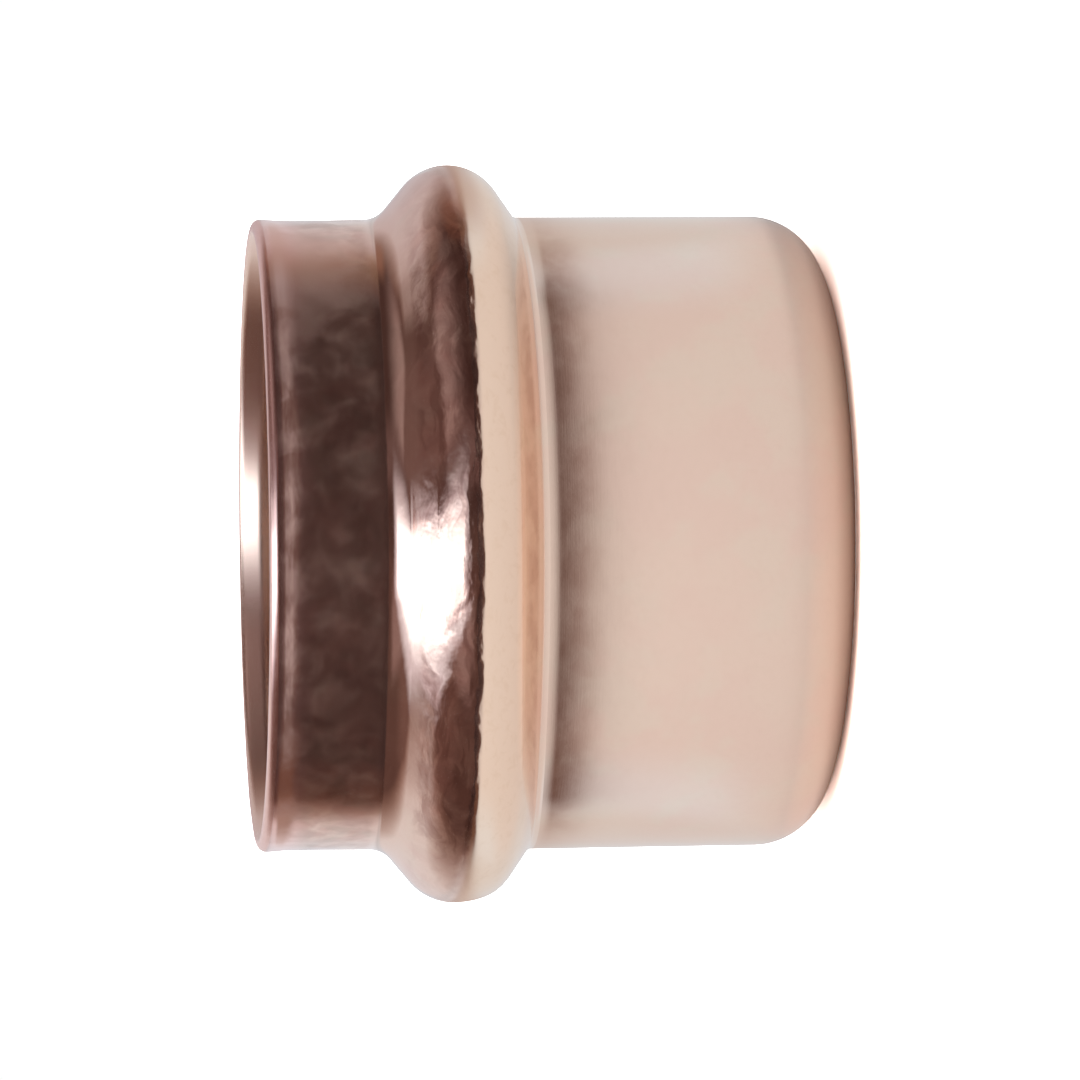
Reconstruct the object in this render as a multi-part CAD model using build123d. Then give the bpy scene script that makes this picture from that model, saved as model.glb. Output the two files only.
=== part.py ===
from build123d import *
import math
import os

# Press end cap for 28 mm copper tube: one-piece formed copper body with a
# rolled O-ring bead, and the elastomer sealing ring that the bead holds.
# Frame: +Z runs along the bore and points out of the mouth; the flat closed
# end rests on z = 0. Millimetres.

# ---- driving dimensions -------------------------------------------------
tube_od = 28.0            # copper tube that the cap closes
total_length = 27.4       # closed end face to lip
bore_r = 14.1             # socket radius: tube OD / 2 + 0.1
skirt_r = 15.25           # outside radius of the lead-in skirt (mouth to bead)
barrel_r = 15.33          # outside radius of the socket barrel
end_wall = 1.3            # thickness of the closed end
corner_r_out = 3.3        # outside corner radius of the closed end
corner_r_in = 2.1         # inside corner radius of the closed end
lip_r = 0.45              # rounding of the lip, outside to the lead-in
lead_angle = 20.0         # lead-in cone at the mouth, half angle in degrees
lead_length = 0.60        # length of the lead-in cone along the axis

bead_from_lip = 9.43      # bead crest, measured down from the lip
bead_crest_r = 17.85      # outside radius at the bead crest
bead_round = 2.68         # section radius of the bead crest, outside
bead_wall = 1.0           # wall over the bead, thinned by rolling
bead_flank = 55.0         # flank angle at the ends of the crest arc, degrees
foot_mouth = 1.50         # outside fillet at the mouth-side foot
foot_barrel = 0.55        # outside fillet at the barrel-side foot

ring_inner_r = 13.95      # free inside radius of the sealing ring
ring_section = 2.88       # section diameter of the sealing ring

# ---- helpers ------------------------------------------------------------
z_bead = total_length - bead_from_lip
th = math.radians(bead_flank)


def bead_side(side, base_r, foot_r, round_r, crest):
    """Tangent points of one bead flank in the (r, z) half plane.

    side is +1 towards the mouth and -1 towards the closed end. Returns the
    end of the foot on the wall, a point inside the foot arc, the foot/flank
    tangent point and the flank/crest tangent point.
    """
    zc, rc = z_bead, crest - round_r
    z_t = zc + side * round_r * math.sin(th)
    r_t = rc + round_r * math.cos(th)
    r_f = base_r + foot_r
    z_f = z_t + side * (foot_r - (r_f - r_t) * math.cos(th)) / math.sin(th)
    wall = (base_r, z_f)
    mid = (r_f - foot_r * math.cos(th / 2), z_f - side * foot_r * math.sin(th / 2))
    foot = (r_f - foot_r * math.cos(th), z_f - side * foot_r * math.sin(th))
    return wall, mid, foot, (r_t, z_t)


def xz(p):
    return (p[0], 0, p[1])


def line(a, b):
    return Line(xz(a), xz(b))


def arc(a, m, b):
    return ThreePointArc(xz(a), xz(m), xz(b))


def corner(cr, cz, r, deg):
    return (cr + r * math.cos(math.radians(deg)), cz + r * math.sin(math.radians(deg)))


# ---- outside and inside of the bead -------------------------------------
round_in = bead_round - bead_wall
crest_in = bead_crest_r - bead_wall
ow1, om1, of1, ot1 = bead_side(+1, skirt_r, foot_mouth, bead_round, bead_crest_r)
ow2, om2, of2, ot2 = bead_side(-1, barrel_r, foot_barrel, bead_round, bead_crest_r)
iw1, im1, if1, it1 = bead_side(+1, bore_r, foot_mouth + 1.05, round_in, crest_in)
iw2, im2, if2, it2 = bead_side(-1, bore_r, foot_barrel + 1.05, round_in, crest_in)

# ---- cap body: closed section in the XZ half plane, turned about Z -------
L = total_length
lip_c = (skirt_r - lip_r, L - lip_r)
ta = math.radians(lead_angle)
lead_top = corner(*lip_c, lip_r, 180 - lead_angle)
lead_end = (lead_top[0] - lead_length * math.tan(ta), lead_top[1] - lead_length)
blend_r = (lead_end[0] - bore_r) / (1 - math.cos(ta))      # cone to bore, tangent to both
blend_c = (bore_r + blend_r, lead_end[1] - blend_r * math.sin(ta))
bore_top = (bore_r, blend_c[1])
edges = [
    line((0, 0), (barrel_r - corner_r_out, 0)),
    arc((barrel_r - corner_r_out, 0),
        corner(barrel_r - corner_r_out, corner_r_out, corner_r_out, -45),
        (barrel_r, corner_r_out)),
    line((barrel_r, corner_r_out), ow2),
    arc(ow2, om2, of2),
    line(of2, ot2),
    arc(ot2, (bead_crest_r, z_bead), ot1),
    line(ot1, of1),
    arc(of1, om1, ow1),
    line(ow1, (skirt_r, L - lip_r)),
    arc((skirt_r, L - lip_r), corner(*lip_c, lip_r, (180 - lead_angle) / 2), lead_top),
    line(lead_top, lead_end),
    arc(lead_end, corner(*blend_c, blend_r, 180 - lead_angle / 2), bore_top),
    line(bore_top, iw1),
    arc(iw1, im1, if1),
    line(if1, it1),
    arc(it1, (crest_in, z_bead), it2),
    line(it2, if2),
    arc(if2, im2, iw2),
    line(iw2, (bore_r, end_wall + corner_r_in)),
    arc((bore_r, end_wall + corner_r_in),
        corner(bore_r - corner_r_in, end_wall + corner_r_in, corner_r_in, -45),
        (bore_r - corner_r_in, end_wall)),
    line((bore_r - corner_r_in, end_wall), (0, end_wall)),
    line((0, end_wall), (0, 0)),
]
section = make_face(edges)
cap_body = revolve(section, Axis.Z, 360)
cap_body.label = "cap_body"

# ---- sealing ring: round section, seated in the roof of the bead ---------
ring_r = ring_inner_r + ring_section / 2
ring_plane = Plane(origin=(ring_r, 0, z_bead), x_dir=(1, 0, 0), z_dir=(0, -1, 0))
o_ring = revolve(ring_plane * Circle(ring_section / 2), Axis.Z, 360)
o_ring.label = "o_ring"

# ---- one STEP per piece --------------------------------------------------
os.makedirs("parts", exist_ok=True)
for name, shape in (("cap_body", cap_body), ("o_ring", o_ring)):
    export_step(shape, f"parts/{name}.step")

print("bead crest z", round(z_bead, 3))
print("outside feet z", round(ow1[1], 3), round(ow2[1], 3))
print("bore wall: skirt z", round(iw1[1], 3), "to", round(bore_top[1], 3),
      "barrel z", round(end_wall + corner_r_in, 3), "to", round(iw2[1], 3))
print("groove roof r", round(crest_in, 3), "ring outside r", round(ring_inner_r + ring_section, 3))
print("insertion depth", round(L - end_wall - corner_r_in, 2))
for shape in (cap_body, o_ring):
    print(shape.label, "volume mm3", round(shape.volume, 1), "valid", shape.is_valid)
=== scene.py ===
import bpy
import math
import numpy as np
from mathutils import Vector, Matrix, noise


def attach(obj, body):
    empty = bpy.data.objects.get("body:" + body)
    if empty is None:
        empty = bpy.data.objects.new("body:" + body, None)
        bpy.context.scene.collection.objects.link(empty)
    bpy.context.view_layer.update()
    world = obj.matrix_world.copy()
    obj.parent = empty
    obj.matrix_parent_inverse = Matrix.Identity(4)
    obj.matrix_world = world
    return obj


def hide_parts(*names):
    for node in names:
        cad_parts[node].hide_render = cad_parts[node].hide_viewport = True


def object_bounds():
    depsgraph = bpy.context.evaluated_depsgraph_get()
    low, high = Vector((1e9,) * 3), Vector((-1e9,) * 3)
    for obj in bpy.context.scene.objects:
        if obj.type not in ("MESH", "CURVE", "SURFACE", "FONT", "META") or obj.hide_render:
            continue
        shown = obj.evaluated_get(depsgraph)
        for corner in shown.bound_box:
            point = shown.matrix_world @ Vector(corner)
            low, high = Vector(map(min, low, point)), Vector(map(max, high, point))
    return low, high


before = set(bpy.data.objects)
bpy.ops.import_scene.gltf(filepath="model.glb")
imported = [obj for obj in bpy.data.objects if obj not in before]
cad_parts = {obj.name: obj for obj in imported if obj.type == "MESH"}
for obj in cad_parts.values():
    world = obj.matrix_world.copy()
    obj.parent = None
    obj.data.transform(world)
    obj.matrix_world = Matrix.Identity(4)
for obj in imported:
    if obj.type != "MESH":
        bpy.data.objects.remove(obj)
cad_lo, cad_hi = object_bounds()
scene = bpy.context.scene

MM = 0.001
L = cad_hi.z / MM                 # length of the cap, mm
CREST = cad_hi.x / MM             # outside radius at the bead crest, mm

# section of the cap, mm: the same dimensions as the CAD body
SKIRT_R, BARREL_R, BORE_R = 15.25, 15.33, 14.1
END_WALL, RC_OUT, RC_IN = 1.3, 3.3, 2.1
LIP_OUT, LIP_IN = 0.45, 0.45
LEAD_TILT, LEAD_LEN, LEAD_BLEND = 20.0, 0.60, 0.9743
BEAD_Z = L - 9.43
ROUND, WALL, FLANK = 2.68, 1.0, math.radians(55.0)
FOOT_M, FOOT_B = 1.50, 0.55
RING_IN, RING_D = 13.95, 2.88


# ---------------------------------------------------------------- camera
def make_camera():
    """Seen from the side, a little from the mouth end, with the axis lying across the picture."""
    k, dist, yaw, rol, cx, cy = 20.631, 5250.0, 0.10346, -0.01059, -4.14, -7.09
    rz = np.array([[math.cos(rol), -math.sin(rol), 0], [math.sin(rol), math.cos(rol), 0], [0, 0, 1]])
    ry = np.array([[math.cos(yaw), 0, -math.sin(yaw)], [0, 1, 0], [math.sin(yaw), 0, math.cos(yaw)]])
    m = rz @ ry
    a, u, v = m @ [1, 0, 0], m @ [0, -1, 0], m @ [0, 0, -1]
    w2c = np.column_stack([u, -v, -a])          # world X, Y, Z in camera terms (right, down, forward)
    right, down, fwd = w2c
    centre = np.array([0, 0, L / 2]) * MM
    where = centre - (cx * right + cy * down + dist * fwd) / k * MM
    cam = bpy.data.cameras.new("camera")
    cam.sensor_width = 36.0
    cam.lens = 36.0 * dist / 1080.0
    cam.clip_start, cam.clip_end = 0.01, 20.0
    o = bpy.data.objects.new("camera", cam)
    scene.collection.objects.link(o)
    rot = Matrix((right, -down, -fwd)).transposed()
    o.matrix_world = Matrix.Translation(Vector(where)) @ rot.to_4x4()
    scene.camera = o


make_camera()


# ---------------------------------------------------------------- node helpers
class Tree:
    def __init__(self, nt):
        self.nt = nt
        nt.nodes.clear()

    def new(self, kind, **props):
        n = self.nt.nodes.new(kind)
        for key, val in props.items():
            setattr(n, key, val)
        return n

    def put(self, sock, val):
        if hasattr(val, "is_output"):
            self.nt.links.new(val, sock)
        elif val is not None:
            sock.default_value = val

    def math(self, op, a, b=None, c=None, clamp=False):
        n = self.new("ShaderNodeMath", operation=op, use_clamp=clamp)
        for i, x in enumerate((a, b, c)):
            if x is not None:
                self.put(n.inputs[i], x)
        return n.outputs[0]

    def add(self, a, b): return self.math("ADD", a, b)
    def sub(self, a, b): return self.math("SUBTRACT", a, b)
    def mul(self, a, b): return self.math("MULTIPLY", a, b)
    def div(self, a, b): return self.math("DIVIDE", a, b)
    def vmax(self, a, b): return self.math("MAXIMUM", a, b)
    def vmin(self, a, b): return self.math("MINIMUM", a, b)

    def ramp(self, x, lo, hi, to0=0.0, to1=1.0, smooth=True):
        n = self.new("ShaderNodeMapRange", interpolation_type="SMOOTHSTEP" if smooth else "LINEAR", clamp=True)
        self.put(n.inputs["Value"], x)
        self.put(n.inputs["From Min"], lo)
        self.put(n.inputs["From Max"], hi)
        self.put(n.inputs["To Min"], to0)
        self.put(n.inputs["To Max"], to1)
        return n.outputs["Result"]

    def mix(self, f, a, b, kind="RGBA", blend="MIX"):
        n = self.new("ShaderNodeMix", data_type=kind)
        if kind == "RGBA":
            n.blend_type = blend
            n.clamp_result = False
        i = {"FLOAT": (2, 3, 0), "RGBA": (6, 7, 2)}[kind]
        self.put(n.inputs[0], f)
        self.put(n.inputs[i[0]], a)
        self.put(n.inputs[i[1]], b)
        return n.outputs[i[2]]

    def fmix(self, f, a, b): return self.mix(f, a, b, "FLOAT")

    def xyz(self, v):
        n = self.new("ShaderNodeSeparateXYZ")
        self.put(n.inputs[0], v)
        return n.outputs[0], n.outputs[1], n.outputs[2]

    def vec(self, x, y, z):
        n = self.new("ShaderNodeCombineXYZ")
        for i, q in enumerate((x, y, z)):
            self.put(n.inputs[i], q)
        return n.outputs[0]

    def scale(self, v, sx, sy, sz):
        n = self.new("ShaderNodeVectorMath", operation="MULTIPLY")
        self.put(n.inputs[0], v)
        n.inputs[1].default_value = (sx, sy, sz)
        return n.outputs[0]

    def vadd(self, v, w):
        n = self.new("ShaderNodeVectorMath", operation="ADD")
        self.put(n.inputs[0], v)
        self.put(n.inputs[1], w)
        return n.outputs[0]

    def noise(self, v, scale, detail=2.0, rough=0.5, distortion=0.0, out="Fac"):
        n = self.new("ShaderNodeTexNoise", noise_dimensions="3D")
        self.put(n.inputs["Vector"], v)
        n.inputs["Scale"].default_value = scale
        n.inputs["Detail"].default_value = detail
        n.inputs["Roughness"].default_value = rough
        n.inputs["Distortion"].default_value = distortion
        return n.outputs[out]

    def voronoi(self, v, scale, feature="F1", out="Distance", rnd=1.0):
        n = self.new("ShaderNodeTexVoronoi", feature=feature)
        self.put(n.inputs["Vector"], v)
        n.inputs["Scale"].default_value = scale
        n.inputs["Randomness"].default_value = rnd
        return n.outputs[out]


# ---------------------------------------------------------------- studio
# brightness low down at the sides and behind, by angle from the front: dim, brownish, then pale
SIDE_R = [(86, (0.074, 0.046, 0.045)), (92, (0.094, 0.060, 0.059)), (99, (0.140, 0.088, 0.080)), (107, (0.210, 0.133, 0.100)),
          (114, (0.290, 0.195, 0.160)), (119, (0.405, 0.310, 0.287)), (124, (0.490, 0.410, 0.430)), (130, (0.560, 0.510, 0.540)), (160, (0.625, 0.640, 0.680))]
SIDE_L = [(86, (0.072, 0.045, 0.044)), (92, (0.070, 0.042, 0.040)), (107, (0.078, 0.040, 0.033)), (111, (0.113, 0.062, 0.052)), (116, (0.220, 0.145, 0.130)),
          (120, (0.320, 0.240, 0.220)), (124, (0.470, 0.400, 0.410)), (129, (0.610, 0.570, 0.600)), (150, (0.667, 0.690, 0.745))]


def turn(t, az, stops, over=1.0):
    """Colour ramp round the studio; az in radians from the front."""
    n = t.new("ShaderNodeValToRGB")
    t.put(n.inputs[0], t.ramp(az, math.radians(80), math.radians(165), smooth=False))
    e = n.color_ramp.elements
    at, c = stops[0]
    e[0].position, e[0].color = (at - 80) / 85, tuple(q / over for q in c) + (1,)
    at, c = stops[-1]
    e[1].position, e[1].color = (at - 80) / 85, tuple(q / over for q in c) + (1,)
    for at, c in stops[1:-1]:
        e.new((at - 80) / 85).color = tuple(q / over for q in c) + (1,)
    return n.outputs[0]


def make_world():
    """White to the eye. In reflections: a dim warm room in front, a pale backdrop behind, one long softbox overhead."""
    w = bpy.data.worlds.new("studio")
    scene.world = w
    w.use_nodes = True
    w.cycles.sampling_method = "NONE"
    t = Tree(w.node_tree)
    d = t.new("ShaderNodeTexCoord").outputs["Generated"]
    x, y, z = t.xyz(d)
    ny = t.mul(y, -1.0)                                        # +1 towards the camera side
    h = t.math("SQRT", t.add(t.mul(x, x), t.mul(y, y)))
    az = t.math("ARCTAN2", x, ny)                              # 0 in front, + to the right
    aza = t.math("ABSOLUTE", az)
    el = t.math("ARCTAN2", z, h)

    def rp(q, lo, hi, to0=0.0, to1=1.0, smooth=True):          # limits in degrees
        return t.ramp(q, math.radians(lo), math.radians(hi), to0, to1, smooth)

    left = rp(az, -14, 10, 1.0, 0.0)
    # front: dim room, a little lighter higher up
    dark = (0.068, 0.037, 0.034, 1)
    front_r = t.mix(rp(el, 8, 50), dark, (0.320, 0.232, 0.232, 1))
    front_r = t.mix(t.mul(rp(az, 92, 118), rp(el, 18, 36)), front_r, (0.130, 0.076, 0.070, 1))
    front_r = t.mix(rp(el, 54, 63), front_r, (0.165, 0.100, 0.094, 1))
    front_r = t.mix(t.mul(rp(az, 8, 26), rp(az, 28, 50, 1.0, 0.0)), front_r, (0.150, 0.092, 0.090, 1))
    front_l = t.mix(rp(el, 22, 50), (0.118, 0.066, 0.058, 1), (0.180, 0.104, 0.092, 1))
    front_l = t.mix(t.mul(t.mul(rp(aza, 8, 26), rp(aza, 44, 60, 1.0, 0.0)), rp(el, 4, 20)), front_l, (0.280, 0.185, 0.180, 1))
    front = t.mix(left, front_r, front_l)
    # behind: pale backdrop with a brownish edge, dimmer to the right and gone overhead
    back_l = t.mix(rp(aza, 106, 146, smooth=False), (0.60, 0.36, 0.28, 1), (0.76, 0.73, 0.76, 1))
    back_l = t.mix(rp(el, 52, 64), back_l, (0.50, 0.42, 0.44, 1))
    back_r = t.mix(rp(aza, 112, 148, smooth=False), (0.40, 0.25, 0.20, 1), (0.585, 0.525, 0.555, 1))
    isl = t.mul(rp(t.sub(aza, t.mul(rp(el, 38, 46), math.radians(6.0))), 106, 148, smooth=False), rp(el, -20, 0, 0.9, 1.0))
    isr = t.mul(rp(t.sub(aza, t.mul(rp(el, 36, 44), math.radians(8.0))), 110, 146, smooth=False), rp(el, 46, 54, 1.0, 0.0))
    room = t.mix(t.fmix(left, isr, isl), front, t.mix(left, back_r, back_l))
    brown = t.mul(t.mul(rp(az, 100, 116), rp(az, 122, 140, 1.0, 0.0)), rp(el, 8, 20, 1.0, 0.0))
    room = t.mix(t.mul(brown, 0.75), room, (0.30, 0.165, 0.125, 1))
    room = t.mix(rp(el, 0.2, 2.8, 1.0, 0.0), room, t.mix(left, turn(t, aza, SIDE_R), turn(t, aza, SIDE_L)))
    # softbox, laid out on the plane above the cap: u to the right, v towards the camera side
    zz = t.vmax(z, 0.0001)
    u, v = t.div(x, zz), t.div(ny, zz)
    up = t.ramp(z, 0.0, 0.02)
    from_left = t.add(t.add(u, 0.48), t.mul(v, 0.19))
    near_zenith = t.ramp(v, 0.02, 0.08, 1.0, 0.0)
    core_r = t.fmix(near_zenith, rp(az, -6, 14, 1.0, 0.0), t.ramp(u, -0.04, 0.05, 1.0, 0.0))
    core = t.mul(t.mul(t.ramp(from_left, 0.05, 0.24), core_r), t.mul(t.ramp(v, -0.46, -0.30), t.ramp(v, 1.50, 2.0, 1.0, 0.0)))
    halo_r = t.fmix(near_zenith, rp(az, 0, 34, 1.0, 0.0), t.ramp(u, -0.02, 0.18, 1.0, 0.0))
    halo = t.mul(t.mul(t.ramp(from_left, -0.22, 0.06), halo_r), t.mul(t.ramp(v, -0.46, -0.20), t.ramp(v, 1.70, 3.40, 1.0, 0.0)))
    room = t.mix(t.mul(halo, up), room, (0.83, 0.82, 0.95, 1))
    room = t.mix(t.mul(core, up), room, (2.4, 2.6, 2.9, 1))
    lp = t.new("ShaderNodeLightPath")
    bg_refl = t.new("ShaderNodeBackground")
    t.put(bg_refl.inputs[0], room)
    bg_refl.inputs[1].default_value = 1.0
    bg_fill = t.new("ShaderNodeBackground")                    # what lights the floor and the seal
    bg_fill.inputs[0].default_value = (0.62, 0.62, 0.62, 1)
    bg_fill.inputs[1].default_value = 1.0
    bg_cam = t.new("ShaderNodeBackground")
    bg_cam.inputs[0].default_value = (1, 1, 1, 1)
    bg_cam.inputs[1].default_value = 1.02
    m1 = t.new("ShaderNodeMixShader")
    t.put(m1.inputs[0], lp.outputs["Is Glossy Ray"])
    t.put(m1.inputs[1], bg_fill.outputs[0])
    t.put(m1.inputs[2], bg_refl.outputs[0])
    m2 = t.new("ShaderNodeMixShader")
    t.put(m2.inputs[0], lp.outputs["Is Camera Ray"])
    t.put(m2.inputs[1], m1.outputs[0])
    t.put(m2.inputs[2], bg_cam.outputs[0])
    out = t.new("ShaderNodeOutputWorld")
    t.put(out.inputs[0], m2.outputs[0])


make_world()


def softbox():
    """The same overhead light as the studio's softbox; it lights the floor and leaves reflections to the studio."""
    data = bpy.data.lights.new("softbox", "AREA")
    data.shape = "RECTANGLE"
    data.size, data.size_y = 0.40, 1.0
    data.energy = 2.9
    o = bpy.data.objects.new("softbox", data)
    scene.collection.objects.link(o)
    o.location = (-0.17, -0.42, 0.60)
    o.visible_camera = False
    o.visible_glossy = False


softbox()


def make_floor():
    me = bpy.data.meshes.new("floor")
    n, r = 96, 3.0
    vs = [(0.0, 0.0, 0.0)] + [(r * math.cos(2 * math.pi * i / n), r * math.sin(2 * math.pi * i / n), 0.0) for i in range(n)]
    me.from_pydata(vs, [], [(0, 1 + i, 1 + (i + 1) % n) for i in range(n)])
    o = bpy.data.objects.new("floor", me)
    scene.collection.objects.link(o)
    o.location.z = -0.00002
    m = bpy.data.materials.new("pale_floor")
    m.use_nodes = True
    t = Tree(m.node_tree)
    p = t.new("ShaderNodeTexCoord").outputs["Object"]
    x, y, z = t.xyz(p)
    rr = t.mul(t.math("SQRT", t.add(t.mul(x, x), t.mul(y, y))), 1000.0)
    az = t.math("ABSOLUTE", t.math("ARCTAN2", x, t.mul(y, -1.0)))
    lp = t.new("ShaderNodeLightPath")
    azs = t.sub(az, t.ramp(x, -0.02, 0.02, math.radians(17.0), 0.0))      # everything behind starts later on the left
    infront = t.ramp(azs, math.radians(88), math.radians(131), 1.0, 0.0, smooth=False)
    side = t.ramp(az, math.radians(72), math.radians(100))
    fade = t.new("ShaderNodeValToRGB")                         # painted shade: in front of the cap, the floor seen in reflections turns from pale to dark further out
    t.put(fade.inputs[0], t.ramp(t.add(rr, t.sub(t.mul(side, 8.0), t.mul(t.ramp(azs, math.radians(86), math.radians(106)), 15.0))), 80.0, 170.0, smooth=False))
    stops = [(85, 0.0), (100, 0.02), (112, 0.08), (120, 0.16), (127, 0.28), (132, 0.42), (137, 0.62), (141, 0.82), (146, 0.95), (151, 1.0)]
    el = fade.color_ramp.elements
    el[0].position, el[0].color = (stops[0][0] - 80) / 90, (0, 0, 0, 1)
    el[1].position, el[1].color = (stops[-1][0] - 80) / 90, (1, 1, 1, 1)
    for at, q in stops[1:-1]:
        e = el.new((at - 80) / 90)
        e.color = (q, q, q, 1)
    FLOOR = 1.0
    # Painted light and shade: this floor colour is seen only in reflections, and the camera sees plain white below. It
    # is pale near the cap, bluer at the sides, painted darker behind and far off, and dark beyond the pale area in
    # front.
    near = t.mix(t.mul(side, t.ramp(rr, 30.0, 60.0)), (0.785 * FLOOR, 0.775 * FLOOR, 0.79 * FLOOR, 1), (0.80 * FLOOR, 0.87 * FLOOR, 0.95 * FLOOR, 1))
    foot = t.ramp(rr, 13.0, 21.0, 1.0, 0.0)                    # warm light the metal throws on the floor round its foot
    near = t.mix(foot, near, (0.98, 0.90, 0.87, 1))
    near = t.mix(t.ramp(az, math.radians(105), math.radians(125)), near, (0.76, 0.77, 0.79, 1))
    near = t.mix(t.mul(t.ramp(azs, math.radians(94), math.radians(114)), t.ramp(rr, 95.0, 180.0)), near, (0.66, 0.56, 0.52, 1))
    away = t.mix(t.ramp(rr, 165.0, 215.0), (0.115 * FLOOR, 0.063 * FLOOR, 0.052 * FLOOR, 1), (0.071 * FLOOR, 0.044 * FLOOR, 0.043 * FLOOR, 1))
    away = t.mix(t.mul(t.ramp(az, math.radians(62), math.radians(92)), t.ramp(rr, 250.0, 300.0, 1.0, 0.0)), away, (0.155, 0.082, 0.060, 1))
    # painted shade: a darker brownish patch on the floor behind and to the right, seen only in reflections
    brown = t.mul(t.mul(t.ramp(az, math.radians(98), math.radians(116)), t.ramp(az, math.radians(118), math.radians(136), 1.0, 0.0)), t.ramp(rr, 140.0, 190.0))
    col = t.mix(t.mul(infront, fade.outputs[0]), near, away)
    col = t.mix(t.mul(brown, 0.5), col, (0.40, 0.245, 0.175, 1))
    # painted reflection: far off, the floor seen in reflections goes from dim at the sides to pale behind, later on the
    # left than on the right
    far_r, far_l = turn(t, az, SIDE_R, 0.66), turn(t, az, SIDE_L, 0.66)
    far = t.mix(t.ramp(x, -0.02, 0.02), far_l, far_r)
    col = t.mix(t.mul(t.ramp(rr, 265.0, 345.0), t.ramp(az, math.radians(86), math.radians(97))), col, far)
    plain = t.mix(lp.outputs["Is Camera Ray"], (0.80, 0.80, 0.80, 1), (4.0, 4.0, 4.0, 1))
    col = t.mix(lp.outputs["Is Glossy Ray"], plain, col)
    b = t.new("ShaderNodeBsdfDiffuse")
    t.put(b.inputs[0], col)
    clear = t.new("ShaderNodeBsdfTransparent")                 # the sheet is seen from above only, and not under the closed end
    side_mix = t.new("ShaderNodeMixShader")
    t.put(side_mix.inputs[0], t.vmax(t.new("ShaderNodeNewGeometry").outputs["Backfacing"], t.ramp(rr, 11.6, 12.1, 1.0, 0.0)))
    t.put(side_mix.inputs[1], b.outputs[0])
    t.put(side_mix.inputs[2], clear.outputs[0])
    out = t.new("ShaderNodeOutputMaterial")
    t.put(out.inputs[0], side_mix.outputs[0])
    me.materials.append(m)


make_floor()


# ---------------------------------------------------------------- section of the cap
def flank(side, base, foot, rnd, crest, slope=FLANK):
    """One side of the bead as points (r, z) from the wall up to the crest."""
    rc = crest - rnd
    zt, rt = BEAD_Z + side * rnd * math.sin(slope), rc + rnd * math.cos(slope)
    rf = base + foot
    zf = zt + side * (foot - (rf - rt) * math.cos(slope)) / math.sin(slope)
    pts = [(rf - foot * math.cos(a), zf - side * foot * math.sin(a)) for a in np.linspace(0, slope, 12)]
    r1, z1 = pts[-1]
    pts += [(r1 + (rt - r1) * q, z1 + (zt - z1) * q) for q in np.linspace(0, 1, 4)[1:]]
    pts += [(rc + rnd * math.cos(a), BEAD_Z + side * rnd * math.sin(a)) for a in np.linspace(slope, 0, 17)[1:]]
    return pts


def run(a, b, n, ends=False):
    q = np.linspace(0, 1, n)
    return [(a[0] + (b[0] - a[0]) * t, a[1] + (b[1] - a[1]) * t) for t in q[1:]]


def arc(cr, cz, r, d0, d1, n):
    return [(cr + r * math.cos(math.radians(d)), cz + r * math.sin(math.radians(d))) for d in np.linspace(d0, d1, n)[1:]]


def outer_profile():
    p = [(0.35, 0.0)]
    p += run(p[-1], (BARREL_R - RC_OUT, 0.0), 16)
    p += arc(BARREL_R - RC_OUT, RC_OUT, RC_OUT, -90, 0, 20)
    up = flank(-1, BARREL_R, FOOT_B - 0.15, ROUND, CREST)         # the rolled feet, as they come off the tool
    p += run(p[-1], up[0], 24)
    p += up[1:]
    dn = flank(+1, SKIRT_R, FOOT_M - 0.12, ROUND, CREST, math.radians(50.5))[::-1]
    p += dn[1:]
    p += run(p[-1], (SKIRT_R, L - LIP_OUT), 18)
    p += arc(SKIRT_R - LIP_OUT, L - LIP_OUT, LIP_OUT, 0, 90, 8)
    return p


def inner_profile():
    """Lip, lead-in cone, then the bore down to the closed end."""
    t = math.radians(LEAD_TILT)
    cr, cz = SKIRT_R - LIP_OUT, L - LIP_IN
    p = [(cr - LIP_IN * math.sin(math.radians(8)), cz + LIP_IN * math.cos(math.radians(8)))]
    p += arc(cr, cz, LIP_IN, 98, 180 - LEAD_TILT, 10)
    p += run(p[-1], (p[-1][0] - LEAD_LEN * math.tan(t), p[-1][1] - LEAD_LEN), 4)
    r1, z1 = p[-1]
    rb = LEAD_BLEND                                             # blend into the bore, centre inside the wall
    cb = (r1 + rb * math.cos(t), z1 - rb * math.sin(t))
    p += [(cb[0] - rb * math.cos(q), cb[1] + rb * math.sin(q)) for q in np.linspace(t, 0, 5)[1:]]
    a = flank(+1, BORE_R, FOOT_M + 1.05, ROUND - WALL, CREST - WALL)
    p += run((BORE_R, p[-1][1]), a[0], 10)
    p += a[1:]
    b = flank(-1, BORE_R, FOOT_B + 1.05, ROUND - WALL, CREST - WALL)[::-1]
    p += b[1:]
    p += run(p[-1], (BORE_R, END_WALL + RC_IN), 16)
    p += arc(BORE_R - RC_IN, END_WALL + RC_IN, RC_IN, 0, -90, 10)
    p += run(p[-1], (0.35, END_WALL), 9)
    return p


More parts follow.
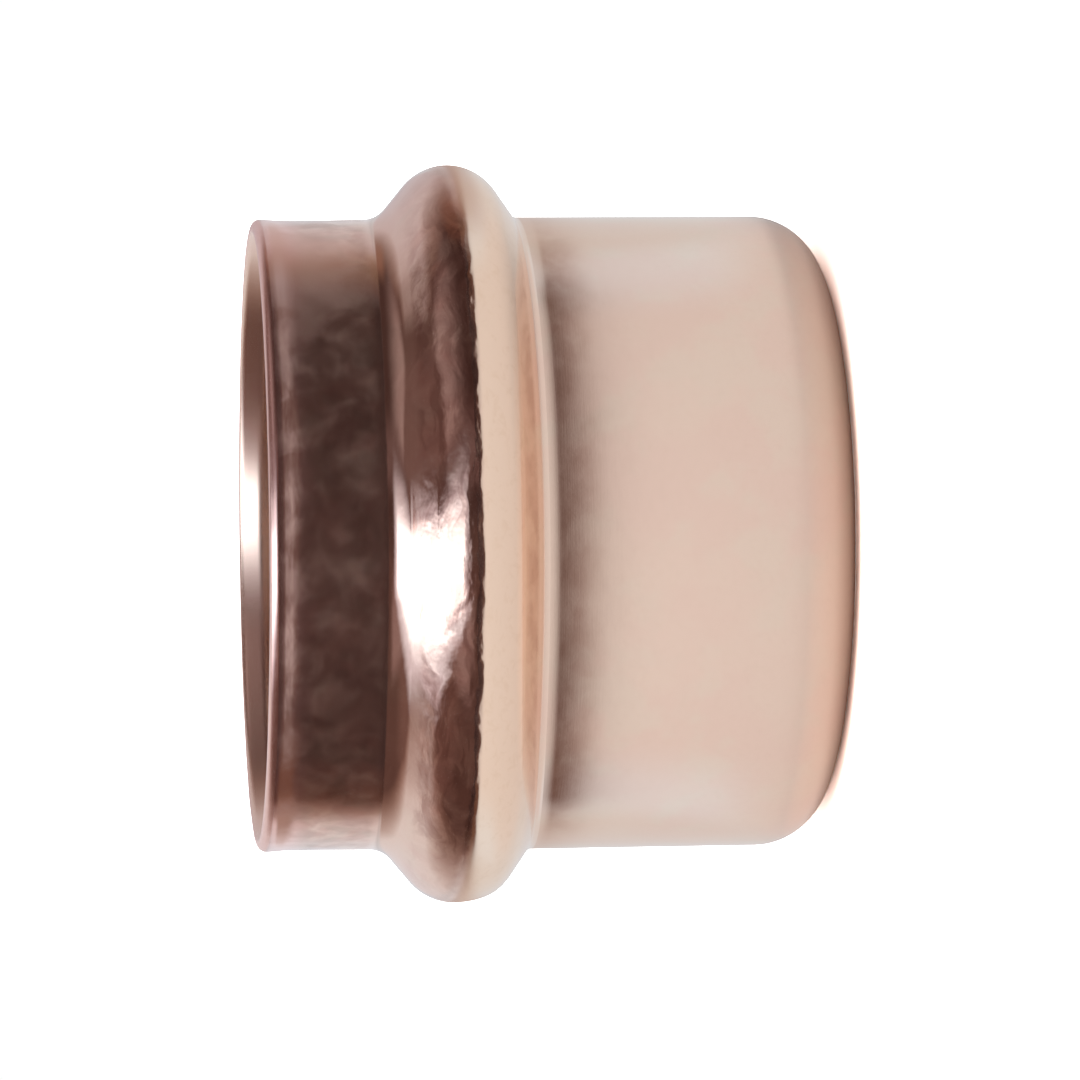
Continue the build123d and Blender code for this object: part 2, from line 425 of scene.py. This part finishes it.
def lathe(name, rings, seg, shape):
    """Closed turned skin. rings: (r, z, nr, nz, tag) in mm; shape(x, y, z, r, tag) gives the inward offset in mm."""
    co, faces = [], []
    ang = [2 * math.pi * i / seg for i in range(seg)]
    cs = [(math.cos(a), math.sin(a)) for a in ang]
    for r, z, nr, nz, tag in rings:
        for c, s in cs:
            o = shape(r * c, r * s, z, r, tag)
            rr, zz = r - nr * o, z - nz * o
            if tag == "out":
                zz -= uneven_bead(c, z)
            co.append((rr * c * MM, rr * s * MM, zz * MM))
    k = len(rings)
    for j in range(k - 1):
        for i in range(seg):
            i2 = (i + 1) % seg
            faces.append((j * seg + i, j * seg + i2, (j + 1) * seg + i2, (j + 1) * seg + i))
    first = len(co)
    r, z, nr, nz, tag = rings[0]
    co.append((0, 0, (z - nz * shape(0, 0, z, 0, tag)) * MM))
    r, z, nr, nz, tag = rings[-1]
    co.append((0, 0, (z - nz * shape(0, 0, z, 0, tag)) * MM))
    for i in range(seg):
        i2 = (i + 1) % seg
        faces.append((first, i2, i))
        faces.append((first + 1, (k - 1) * seg + i, (k - 1) * seg + i2))
    me = bpy.data.meshes.new(name)
    me.from_pydata(co, [], faces)
    me.validate()
    me.polygons.foreach_set("use_smooth", [True] * len(me.polygons))
    o = bpy.data.objects.new(name, me)
    scene.collection.objects.link(o)
    return o


def with_normals(pts, tag):
    p = np.array(pts)
    d = np.gradient(p, axis=0)
    d /= np.linalg.norm(d, axis=1)[:, None] + 1e-12
    return [(r, z, nr, nz, tag) for (r, z), (nr, nz) in zip(p, np.column_stack([d[:, 1], -d[:, 0]]))]


def n3(x, y, z, wave, seed):
    return noise.noise(Vector((x / wave + seed, y / wave - 1.7 * seed, z / wave + 3.1 * seed)))


def sstep(x, a, b):
    q = min(1.0, max(0.0, (x - a) / (b - a)))
    return q * q * (3 - 2 * q)


def body_shape(x, y, z, r, tag):
    """Inward offset, mm: what rolling and drawing leave on a turned form. Never negative."""
    a = math.atan2(y, x)
    if tag == "in":
        o = 0.004 + 0.002 * n3(x, y, z * 0.4, 2.4, 5.0)
        if z < BEAD_Z - 3:
            o += 0.0010 * (1 + noise.noise(Vector((math.cos(a) * 9, math.sin(a) * 9, z * 0.05))))
        return o
    mouth_side = sstep(z, BEAD_Z - 0.30, BEAD_Z + 0.80)           # bead crest up to the lip: rolled, lumpy
    o = 0.046 + 0.046 * sstep(z, BEAD_Z + 2.6, L - 2.2)           # the skirt draws in a little before its edge
    o += 0.008 * math.cos(2 * a + 0.6 + 0.10 * z) + 0.004 * math.cos(3 * a - 1.0)
    o += (0.0020 + 0.0090 * mouth_side) * n3(x, y, z, 3.8, 1.0)
    if mouth_side > 0:
        o += 0.0075 * mouth_side * (1 - 0.55 * sstep(z, BEAD_Z + 4.0, BEAD_Z + 4.6)) * n3(x, y, z * 0.6, 1.7, 2.0)
    if z > L - 2.6:                                              # the mouth edge flares a little and is lumpy
        n = n3(x, y, 0, 2.6, 4.0)
        o -= 0.073 * sstep(z, L - 1.50 + 0.35 * n, L - 0.26) * (1.0 + 0.12 * n3(x, y, 0, 1.3, 7.0))
        o += sstep(z, L - 1.2, L - 0.3) * (0.006 * n + 0.004 * n3(x, y, 0, 0.9, 6.0))
    if z < 0.5 and r < BARREL_R - RC_OUT + 0.5:                  # closed end: faint dish and draw rings
        w = 1 - sstep(r, 9.5, 12.0)
        o += w * (0.05 + 0.0012 * math.cos(r * 5.2) + 0.02 * (1 - sstep(r, 0.8, 2.4)))
    return max(0.0, o)


def uneven_bead(c, z):
    """Downward shift, mm, of the bead's lower flank: the roll is a little wider on one side."""
    top = 1 - sstep(z, BEAD_Z - 1.6, BEAD_Z + 0.4)
    bot = sstep(z, BEAD_Z - 8.0, BEAD_Z - 3.2)
    return 0.42 * max(0.0, -c) ** 4 * top * bot


def make_body():
    outer = with_normals(outer_profile(), "out")
    inner = with_normals(inner_profile(), "in")
    return lathe("cap_body_formed", outer + inner, 376, body_shape)


body = make_body()


def make_ring():
    """Moulded sealing ring with its faint parting line, mm section points round the seat."""
    rc, hr = RING_IN + RING_D / 2, RING_D / 2
    n, seg = 72, 384
    co, faces = [], []
    for i in range(seg):
        a = 2 * math.pi * i / seg
        c, s = math.cos(a), math.sin(a)
        for j in range(n):
            b = 2 * math.pi * j / n
            q = 0.012 + 0.004 * n3(rc * c, rc * s, hr * math.sin(b), 2.0, 8.0)
            for line in (math.pi / 2, -math.pi / 2):             # flash line round top and bottom
                dlt = (b - line + math.pi) % (2 * math.pi) - math.pi
                q -= 0.011 * math.exp(-(dlt / 0.05) ** 2)
            rr = hr - q
            co.append(((rc + rr * math.cos(b)) * c * MM, (rc + rr * math.cos(b)) * s * MM, (BEAD_Z + rr * math.sin(b)) * MM))
    for i in range(seg):
        i2 = (i + 1) % seg
        for j in range(n):
            j2 = (j + 1) % n
            faces.append((i * n + j, i2 * n + j, i2 * n + j2, i * n + j2))
    me = bpy.data.meshes.new("o_ring_moulded")
    me.from_pydata(co, [], faces)
    me.validate()
    me.polygons.foreach_set("use_smooth", [True] * len(me.polygons))
    o = bpy.data.objects.new("o_ring_moulded", me)
    scene.collection.objects.link(o)
    return o


ring = make_ring()


# ---------------------------------------------------------------- materials
def copper():
    m = bpy.data.materials.new("copper")
    m.use_nodes = True
    t = Tree(m.node_tree)
    tc = t.new("ShaderNodeTexCoord").outputs["Object"]
    p = t.scale(tc, 1000, 1000, 1000)                           # mm
    x, y, z = t.xyz(p)
    r = t.math("SQRT", t.add(t.mul(x, x), t.mul(y, y)))
    # where on the cap
    outside = t.ramp(r, 14.55, 14.75)
    upper = t.mul(t.ramp(z, BEAD_Z - 0.24, BEAD_Z + 0.20), outside)      # bead crest to lip
    skirt = t.mul(t.ramp(z, BEAD_Z + 3.9, BEAD_Z + 4.6), outside)
    golden = t.mul(t.mul(t.ramp(z, BEAD_Z - 3.0, BEAD_Z - 2.5), t.ramp(z, BEAD_Z - 0.3, BEAD_Z + 0.2, 1.0, 0.0)), outside)
    collar = t.mul(t.mul(t.ramp(z, BEAD_Z - 6.3, BEAD_Z - 4.3), t.ramp(z, BEAD_Z - 4.0, BEAD_Z - 3.7, 1.0, 0.0)), outside)
    # base colour
    cloud = t.noise(p, 0.16, 3.0, 0.55)
    cloud2 = t.noise(t.vadd(p, (40.0, 12.0, 7.0)), 0.30, 3.0, 0.6)
    fleck = t.noise(p, 3.2, 4.0, 0.65)
    fine = t.noise(t.vadd(p, (5.0, 9.0, 2.0)), 8.0, 3.0, 0.6)
    col = t.mix(t.ramp(cloud, 0.40, 0.62), (0.925, 0.710, 0.580, 1), (0.920, 0.685, 0.565, 1))
    col = t.mix(t.mul(t.ramp(cloud2, 0.48, 0.66), 0.7), col, (0.905, 0.725, 0.590, 1))
    col = t.mix(t.mul(t.ramp(fleck, 0.46, 0.72), 0.10), col, (0.78, 0.56, 0.43, 1))
    col = t.mix(golden, col, (0.975, 0.745, 0.580, 1))
    crest = t.mul(t.mul(t.ramp(z, BEAD_Z - 1.5, BEAD_Z - 0.5), t.ramp(z, BEAD_Z + 0.5, BEAD_Z + 1.4, 1.0, 0.0)), outside)
    # darker colour on the bead crest, on the +X side only
    crest_side_dark = t.mul(t.ramp(x, 13.0, 15.2), crest)
    flanks = t.mul(t.ramp(t.math("ABSOLUTE", x), 13.5, 16.0), crest)
    col = t.mix(t.mul(crest_side_dark, 0.75), col, (0.74, 0.47, 0.345, 1))
    beige = t.noise(t.scale(t.vadd(p, (2.0, 7.0, 4.0)), 1, 1, 1.4), 1.6, 5.0, 0.7, 0.6)
    col = t.mix(t.mul(t.mul(t.ramp(beige, 0.50, 0.66), golden), 0.22), col, (0.80, 0.56, 0.38, 1))
    # tarnish: soft brown, olive and reddish blotches on skirt and upper half of the bead
    wob = t.noise(p, 0.45, 1.0, 0.5, out="Color")
    q = t.vadd(p, t.scale(wob, 1.8, 1.8, 1.8))
    blot = t.noise(t.vadd(q, (3.0, 8.0, 2.0)), 0.50, 2.0, 0.50)
    blot2 = t.noise(t.vadd(q, (13.0, 1.0, 5.0)), 1.25, 3.0, 0.55)
    dark = t.ramp(t.add(t.mul(blot, 0.62), t.mul(blot2, 0.38)), 0.38, 0.62)
    red = t.ramp(t.noise(t.vadd(q, (9.0, 3.0, 1.0)), 0.60, 2.0, 0.5), 0.44, 0.66)
    olive = t.ramp(t.noise(t.vadd(q, (1.0, 13.0, 8.0)), 0.66, 2.0, 0.5), 0.46, 0.68)
    streak = t.noise(t.scale(t.vadd(q, (4.0, 2.0, 6.0)), 0.34, 0.34, 1.9), 1.0, 3.0, 0.55)       # drawn out round the bead
    facing = t.ramp(t.mul(y, -1.0), 6.5, 14.5, 0.05, 1.0)
    onbead = t.mul(t.sub(upper, skirt), t.ramp(z, BEAD_Z + 2.35, BEAD_Z + 2.75, 1.0, 0.22))    # its foot stays clean
    amount = t.add(t.mul(t.mul(onbead, t.ramp(facing, 0.05, 0.6, 0.35, 1.0)), 0.42), t.mul(skirt, 0.40))
    col = t.mix(t.mul(dark, amount), col, (0.45, 0.25, 0.215, 1))
    col = t.mix(t.mul(red, t.mul(amount, 0.50)), col, (0.82, 0.42, 0.33, 1))
    col = t.mix(t.mul(olive, t.mul(skirt, 0.34)), col, (0.50, 0.40, 0.32, 1))
    col = t.mix(t.mul(t.mul(t.ramp(streak, 0.46, 0.60), t.mul(onbead, t.ramp(facing, 0.05, 0.6, 0.2, 1.0))), 0.55), col, (0.48, 0.29, 0.23, 1))
    col = t.mix(t.mul(t.mul(t.ramp(fine, 0.40, 0.70), amount), 0.22), col, (0.40, 0.27, 0.21, 1))
    # painted shade: a dark band on the barrel just below the bead, strongest on the front (-Y) side, broken up by noise
    collar_shade_noise = t.noise(t.scale(t.vadd(p, (6.0, 3.0, 9.0)), 1.0, 1.0, 1.25), 0.52, 3.0, 0.5)
    col = t.mix(t.mul(t.add(t.mul(t.ramp(collar_shade_noise, 0.34, 0.66), 0.60), 0.40), t.mul(t.mul(collar, t.ramp(y, -10.5, -4.0, 1.0, 0.25)), 0.74)), col, (0.56, 0.335, 0.255, 1))
    # roughness
    rn = t.noise(t.scale(p, 1, 1, 1.6), 1.3, 3.0, 0.5)
    haze = t.noise(t.vadd(q, (21.0, 4.0, 6.0)), 0.62, 3.0, 0.50)
    soft = t.noise(t.vadd(p, (11.0, 3.0, 9.0)), 0.35, 2.0, 0.5)
    rg = t.add(t.fmix(skirt, 0.078, 0.115), t.mul(t.sub(rn, 0.5), 0.035))
    rg = t.add(rg, t.mul(t.mul(t.ramp(haze, 0.36, 0.72), skirt), 0.085))
    rg = t.add(rg, t.mul(t.mul(t.ramp(fine, 0.38, 0.72), skirt), 0.008))
    rg = t.add(rg, t.mul(flanks, 0.16))
    rg = t.add(rg, t.mul(t.mul(t.ramp(haze, 0.38, 0.66), onbead), 0.05))
    # one handled, hazy place on the skirt
    dx, dy, dz = t.sub(x, 12.4), t.add(y, 8.8), t.mul(t.add(t.sub(z, 25.9), t.mul(t.sub(x, 12.4), -0.20)), 1.7)
    d2 = t.math("SQRT", t.add(t.add(t.mul(dx, dx), t.mul(dy, dy)), t.mul(dz, dz)))
    worn = t.mul(t.ramp(t.add(d2, t.mul(t.sub(soft, 0.5), 6.0)), 1.0, 8.4, 1.0, 0.0), skirt)
    rg = t.add(rg, t.mul(worn, 0.15))
    col = t.mix(t.mul(worn, 0.9), col, (0.97, 0.72, 0.62, 1))
    rim = t.ramp(z, L - 0.46, L - 0.30)                          # cut and deburred edge
    edge = t.mul(t.ramp(t.add(z, t.mul(t.sub(soft, 0.5), 1.2)), L - 2.3, L - 1.1), outside)
    col = t.mix(t.mul(edge, 0.85), col, (0.97, 0.66, 0.585, 1))
    rg = t.fmix(outside, t.add(t.ramp(z, L - 4.5, L - 1.5, 0.21, 0.33), t.mul(t.sub(rn, 0.5), 0.12)), rg)
    rg = t.fmix(rim, rg, t.add(0.26, t.mul(t.sub(rn, 0.5), 0.10)))
    rg = t.vmin(rg, 0.264)
    # fine relief: rolled streaks and lumps from crest to lip, grain, hairlines
    peel = t.noise(t.scale(t.vadd(p, t.scale(wob, 1.0, 1.0, 1.0)), 0.45, 0.45, 1.15), 1.0, 2.0, 0.45)
    peel2 = t.noise(t.scale(t.vadd(p, (7.0, 5.0, 3.0)), 0.8, 0.8, 1.3), 1.7, 2.0, 0.5)
    grain = t.noise(p, 7.0, 3.0, 0.6)
    hair = t.noise(t.scale(p, 0.5, 0.5, 16.0), 1.0, 2.0, 0.5)
    draw = t.noise(t.scale(p, 11.0, 11.0, 0.7), 1.0, 2.0, 0.5)
    bead = t.mul(t.add(onbead, t.mul(skirt, 0.13)), facing)
    h = t.mul(t.mul(t.sub(peel, 0.5), bead), 0.055)
    h = t.add(h, t.mul(t.mul(t.sub(peel2, 0.5), bead), 0.013))
    h = t.add(h, t.mul(t.sub(grain, 0.5), 0.00014))
    h = t.add(h, t.mul(t.sub(hair, 0.5), 0.00009))
    h = t.add(h, t.mul(t.sub(draw, 0.5), 0.00006))
    bump = t.new("ShaderNodeBump")
    bump.inputs["Strength"].default_value = 1.0
    bump.inputs["Distance"].default_value = 0.001
    t.put(bump.inputs["Height"], h)
    b = t.new("ShaderNodeBsdfPrincipled")
    t.put(b.inputs["Base Color"], col)
    b.inputs["Metallic"].default_value = 1.0
    t.put(b.inputs["Roughness"], rg)
    t.put(b.inputs["Normal"], bump.outputs[0])
    out = t.new("ShaderNodeOutputMaterial")
    t.put(out.inputs[0], b.outputs[0])
    return m


def rubber():
    m = bpy.data.materials.new("sealing_rubber")
    m.use_nodes = True
    t = Tree(m.node_tree)
    tc = t.new("ShaderNodeTexCoord").outputs["Object"]
    p = t.scale(tc, 1000, 1000, 1000)
    bloom = t.noise(p, 0.9, 4.0, 0.6)
    col = t.mix(t.ramp(bloom, 0.4, 0.75), (0.018, 0.018, 0.019, 1), (0.045, 0.044, 0.043, 1))
    rg = t.add(0.36, t.mul(t.noise(p, 1.7, 3.0, 0.6), 0.22))
    h = t.mul(t.noise(p, 14.0, 3.0, 0.6), 0.002)
    bump = t.new("ShaderNodeBump")
    bump.inputs["Strength"].default_value = 1.0
    bump.inputs["Distance"].default_value = 0.001
    t.put(bump.inputs["Height"], h)
    b = t.new("ShaderNodeBsdfPrincipled")
    t.put(b.inputs["Base Color"], col)
    t.put(b.inputs["Roughness"], rg)
    t.put(b.inputs["Normal"], bump.outputs[0])
    out = t.new("ShaderNodeOutputMaterial")
    t.put(out.inputs[0], b.outputs[0])
    return m


body.data.materials.append(copper())
ring.data.materials.append(rubber())
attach(body, "root")
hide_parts("cap_body")
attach(ring, "root")
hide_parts("o_ring")

scene.view_settings.view_transform = "Standard"
scene.view_settings.look = "None"
scene.view_settings.exposure = 0.0
scene.view_settings.gamma = 1.0
